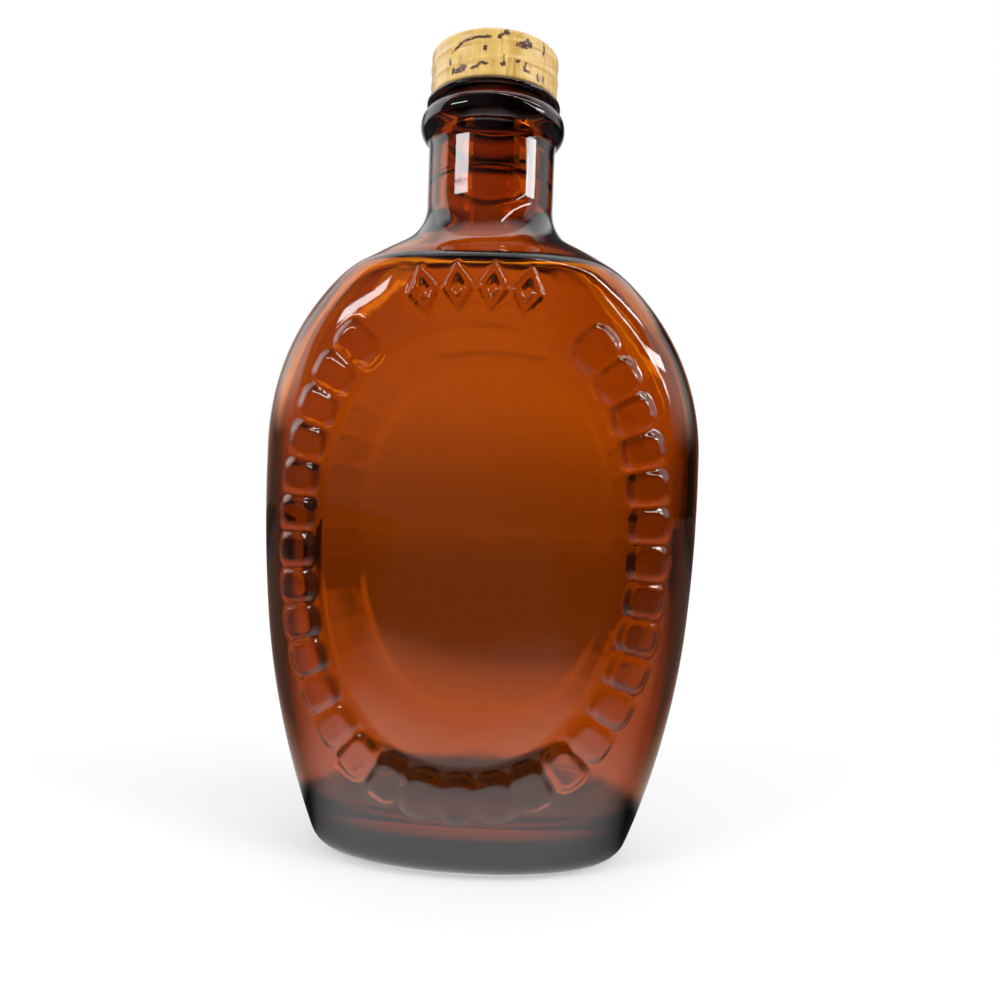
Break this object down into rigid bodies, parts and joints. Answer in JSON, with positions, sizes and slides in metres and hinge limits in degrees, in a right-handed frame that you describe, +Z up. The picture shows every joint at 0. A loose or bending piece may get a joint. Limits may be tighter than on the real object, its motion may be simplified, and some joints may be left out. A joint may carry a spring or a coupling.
{
  "type": "maple syrup bottle",
  "caption": "Flat oval amber glass syrup flask with a round neck, a collar, a raised pad border on both faces and a metal screw cap.",
  "frame": {"origin": "centre of the base, on the plane that the flask stands on", "axes": "+Z up along the neck, front face towards -Y, wide side along X"},
  "size_m": [0.1318, 0.067, 0.2414],
  "materials": {
    "amber_glass": "glossy clear amber glass",
    "printed_metal": "satin wood-grain print on tinplate, chipped at the edges"
  },
  "bodies": {
    "root": {"bottle": "amber_glass", "cap": "printed_metal"}
  },
  "joints": []
}
